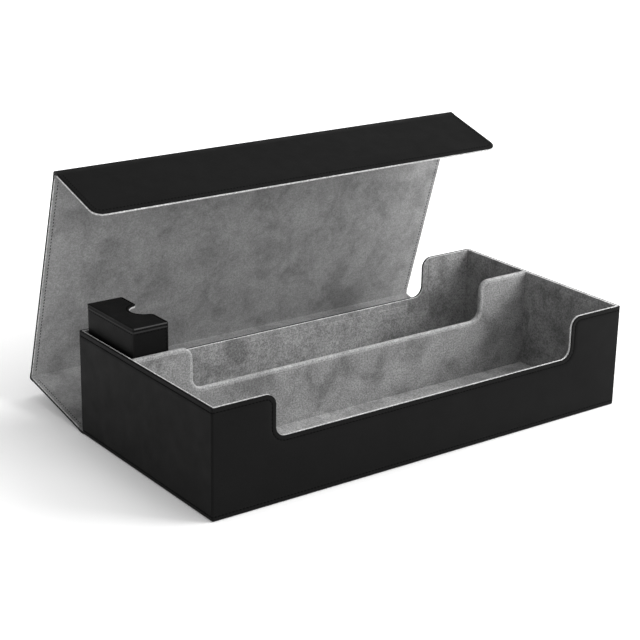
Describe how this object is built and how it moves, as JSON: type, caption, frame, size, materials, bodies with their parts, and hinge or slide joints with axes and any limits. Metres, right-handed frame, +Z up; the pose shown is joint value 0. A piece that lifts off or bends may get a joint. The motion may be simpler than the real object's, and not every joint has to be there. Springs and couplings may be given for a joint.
{
  "type": "card deck box",
  "caption": "Long two-row card storage box in black leather with a grey suede lining, a folding three-panel lid and a small tray.",
  "frame": {"origin": "centre of the underside of the box, on the surface it stands on", "axes": "+X along the rows, to the right as seen from the front; +Y to the back, where the lid is hinged; +Z up"},
  "size_m": [0.44, 0.3096, 0.2287],
  "materials": {
    "leather": "smooth black, soft sheen",
    "suede": "grey microfibre suede",
    "greyboard": "grey pressed board",
    "magnet": "plated"
  },
  "bodies": {
    "box": {"bottom_leather": "leather", "floor_board": "greyboard", "front_row_floor_lining": "suede", "rear_row_floor_lining": "suede", "front_leather": "leather", "front_board": "greyboard", "front_lining": "suede", "front_magnets": "magnet", "back_leather": "leather", "back_board": "greyboard", "back_lining": "suede", "left_leather": "leather", "left_board": "greyboard", "left_lining": "suede", "right_leather": "leather", "right_board": "greyboard", "right_lining": "suede", "divider_board": "greyboard", "divider_lining": "suede", "rear_hinge_leather": "leather"},
    "rear_panel": {"rear_panel_leather": "leather", "rear_panel_board": "greyboard", "rear_panel_lining": "suede"},
    "top_fold": {"top_fold_leather": "leather"},
    "top_panel": {"top_panel_leather": "leather", "top_panel_board": "greyboard", "top_panel_lining": "suede", "flap_fold_leather": "leather"},
    "flap": {"flap_leather": "leather", "flap_board": "greyboard", "flap_lining": "suede", "flap_magnets": "magnet"},
    "tray": {"tray_leather": "leather", "tray_lining": "suede", "tray_back_board": "greyboard", "tray_bottom_board": "greyboard", "tray_top_board": "greyboard", "tray_front_board": "greyboard", "tray_rear_board": "greyboard"}
  },
  "joints": [
    {"name": "rear_fold", "type": "hinge", "parent": "box", "child": "rear_panel", "pos_m": [0, 0.10775, 0.00165], "axis": [1, 0, 0], "range_deg": [-11.3, 78.7]},
    {"name": "top_fold_lead", "type": "hinge", "parent": "rear_panel", "child": "top_fold", "pos_m": [0, 0.20228, 0.02054], "axis": [1, 0, 0], "range_deg": [-25.3, 3.63]},
    {"name": "top_fold", "type": "hinge", "parent": "top_fold", "child": "top_panel", "pos_m": [0, 0.20228, 0.02054], "axis": [1, 0, 0], "range_deg": [-98.93, 20]},
    {"name": "flap_fold", "type": "hinge", "parent": "top_panel", "child": "flap", "pos_m": [0, 0.14072, 0.22706], "axis": [1, 0, 0], "range_deg": [-90, 0]},
    {"name": "tray_slide", "type": "slide", "parent": "box", "child": "tray", "axis": [0, 0, 1], "range_m": [-0.026, 0.00373]}
  ],
  "couplings": [
    {"joint": "top_fold_lead", "follows": "rear_fold", "ratio": -0.32147},
    {"joint": "tray_slide", "follows": "rear_fold", "m_per_rad": -0.018929}
  ]
}
